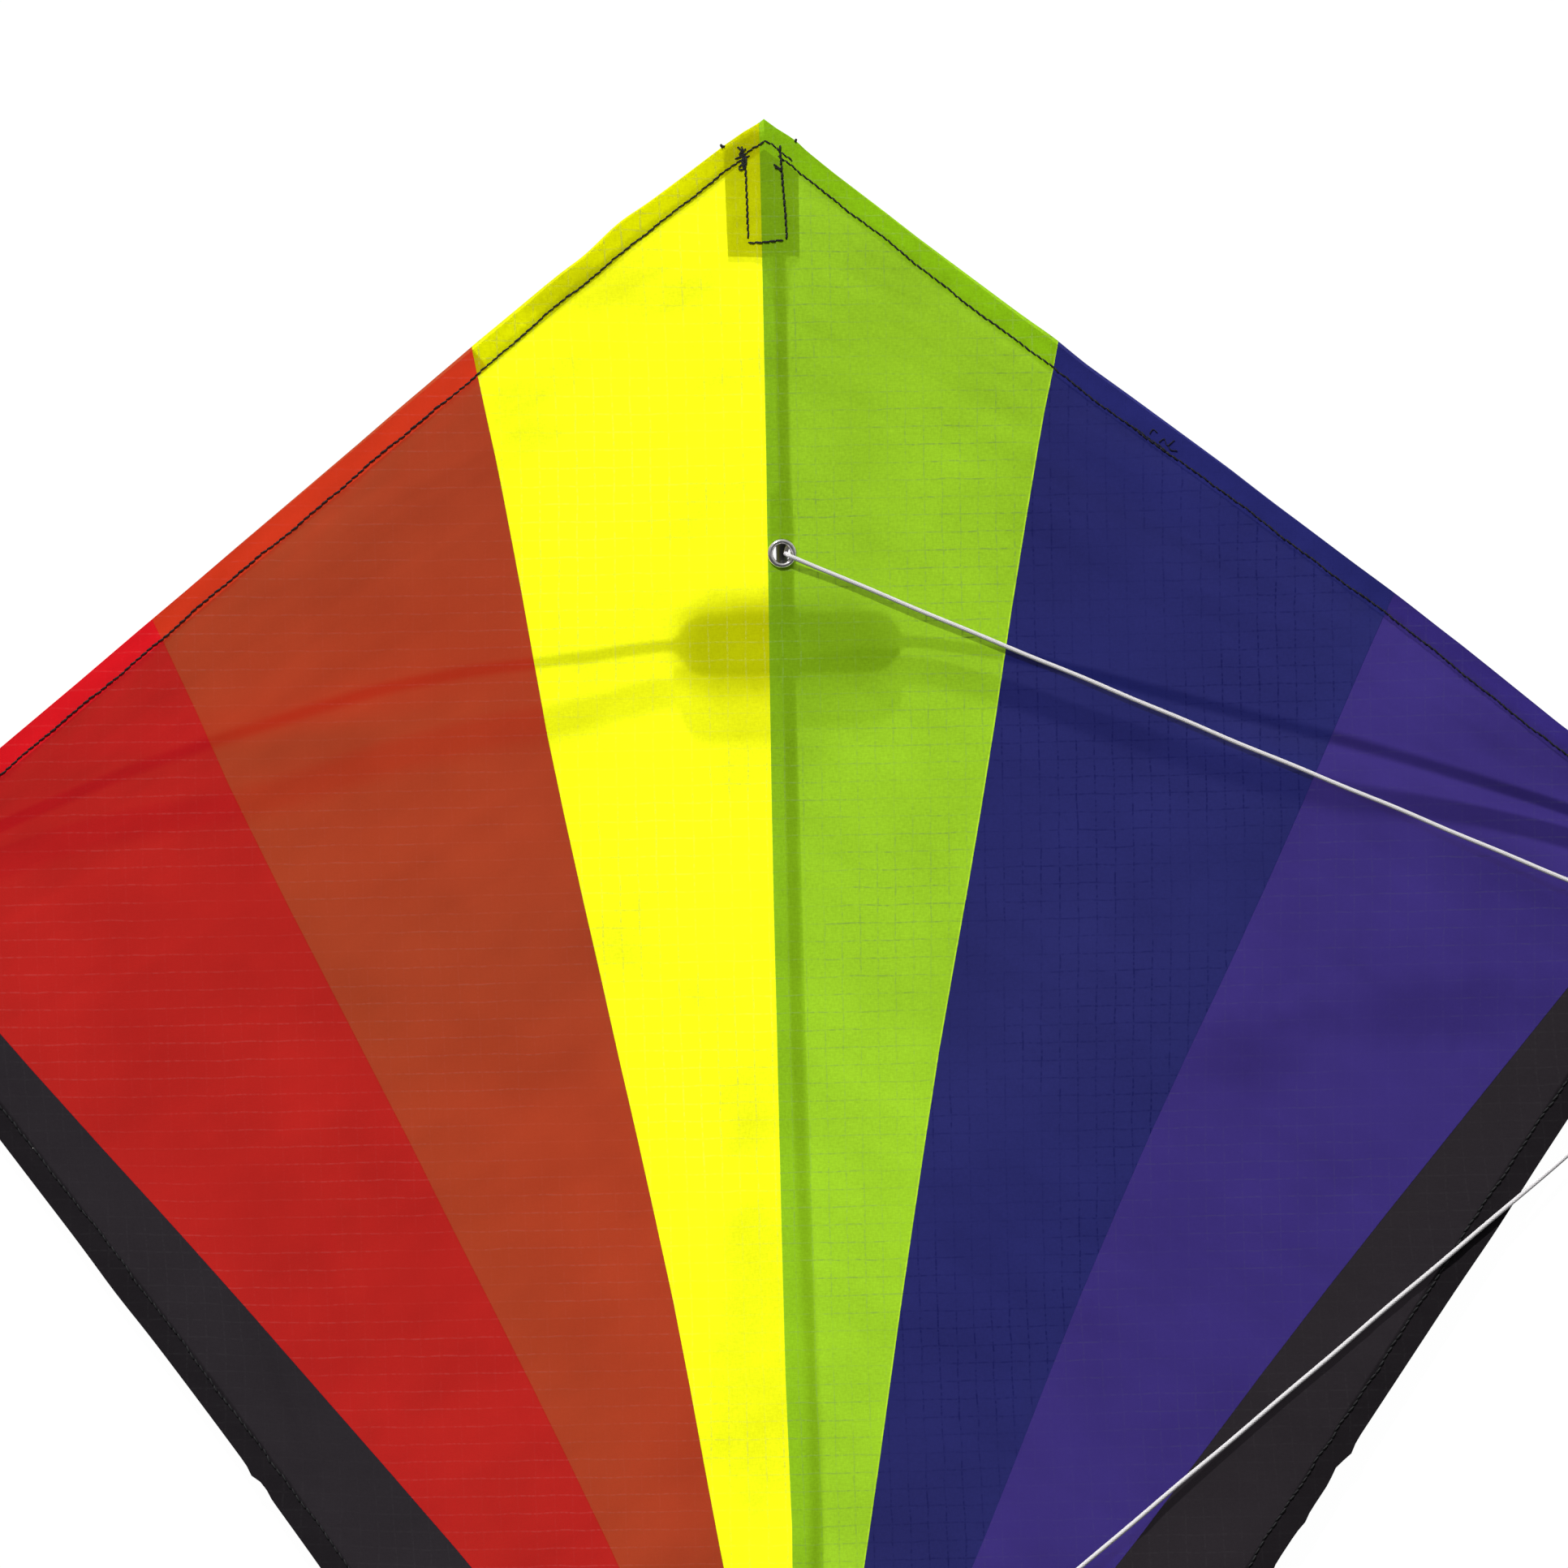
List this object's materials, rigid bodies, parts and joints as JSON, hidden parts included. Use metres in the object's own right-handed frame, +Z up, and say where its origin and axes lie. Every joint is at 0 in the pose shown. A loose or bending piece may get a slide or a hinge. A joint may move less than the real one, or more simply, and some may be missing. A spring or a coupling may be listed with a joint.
{
  "type": "diamond kite",
  "caption": "Diamond-shaped single-line kite with a sewn ripstop sail in rainbow gores, a rod spine, dihedral cross spars and a two-leg bridle with a tow ring, lying face up.",
  "frame": {"origin": "centre of the footprint on the surface it lies on, measured without the bridle legs, their tow knot and the tow ring", "axes": "+Z up, out of the face of the kite; +Y towards the nose, along the floor under the spine; +X to the right of the face"},
  "size_m": [0.6792, 0.739, 0.0705],
  "materials": {
    "sail_yellow": "translucent ripstop polyester",
    "sail_orange": "translucent ripstop polyester",
    "sail_red": "translucent ripstop polyester",
    "sail_green": "translucent ripstop polyester",
    "sail_blue": "translucent ripstop polyester",
    "sail_purple": "translucent ripstop polyester",
    "sail_black": "ripstop polyester",
    "webbing_black": "woven ribbon",
    "rod_black": "pultruded glass fibre, black",
    "vinyl_black": "soft vinyl",
    "moulding_black": "moulded nylon",
    "nickel": "nickel plated",
    "bridle_line": "braided polyester line"
  },
  "bodies": {
    "spine": {"spine_rod": "rod_black", "spine_cap_nose": "vinyl_black", "spine_cap_tail": "vinyl_black", "centre_connector": "moulding_black", "spine_seam_tape": "sail_green", "eyelet_patch_upper": "sail_green", "eyelet_patch_lower": "sail_green", "eyelet_upper": "nickel", "eyelet_lower": "nickel", "bridle_loop_upper": "bridle_line", "bridle_loop_lower": "bridle_line", "nose_pocket": "sail_yellow", "tail_pocket": "sail_black", "tail_loop": "webbing_black"},
    "left_wing": {"panel_yellow": "sail_yellow", "panel_orange": "sail_orange", "panel_red": "sail_red", "trim_left": "sail_black", "leading_hem_left": "sail_red", "trailing_hem_left": "sail_black", "spar_left": "rod_black", "spar_cap_left": "vinyl_black", "tip_pocket_left": "sail_black"},
    "right_wing": {"panel_green": "sail_green", "panel_blue": "sail_blue", "panel_purple": "sail_purple", "trim_right": "sail_black", "leading_hem_right": "sail_blue", "trailing_hem_right": "sail_black", "spar_right": "rod_black", "spar_cap_right": "vinyl_black", "tip_pocket_right": "sail_black"},
    "bridle": {"bridle_leg_upper": "bridle_line", "bridle_leg_lower": "bridle_line", "bridle_tow_knot": "bridle_line"},
    "ring": {"tow_ring": "nickel"}
  },
  "joints": [
    {"name": "left_wing_flex", "type": "hinge", "parent": "spine", "child": "left_wing", "pos_m": [-0.0015, 0.00884, 0.04055], "axis": [0, -0.9966, -0.0823], "range_deg": [0, 10], "stiffness_Nm_per_rad": 5.5, "deforming": ["spar_left", "panel_yellow"]},
    {"name": "right_wing_flex", "type": "hinge", "parent": "spine", "child": "right_wing", "pos_m": [-0.0015, 0.00884, 0.04055], "axis": [0, 0.9966, 0.0823], "range_deg": [0, 10], "stiffness_Nm_per_rad": 5.5, "deforming": ["spar_right", "panel_green"]},
    {"name": "bridle_swing", "type": "hinge", "parent": "spine", "child": "bridle", "pos_m": [0.0035, 0.01446, 0.04297], "axis": [0, -0.9966, -0.0823], "range_deg": [0, 190]},
    {"name": "tow_ring_swing", "type": "hinge", "parent": "bridle", "child": "ring", "pos_m": [0.3414, 0.08003, 0.00225], "axis": [0.1701, -0.9854, 0], "range_deg": [0, 150]}
  ]
}
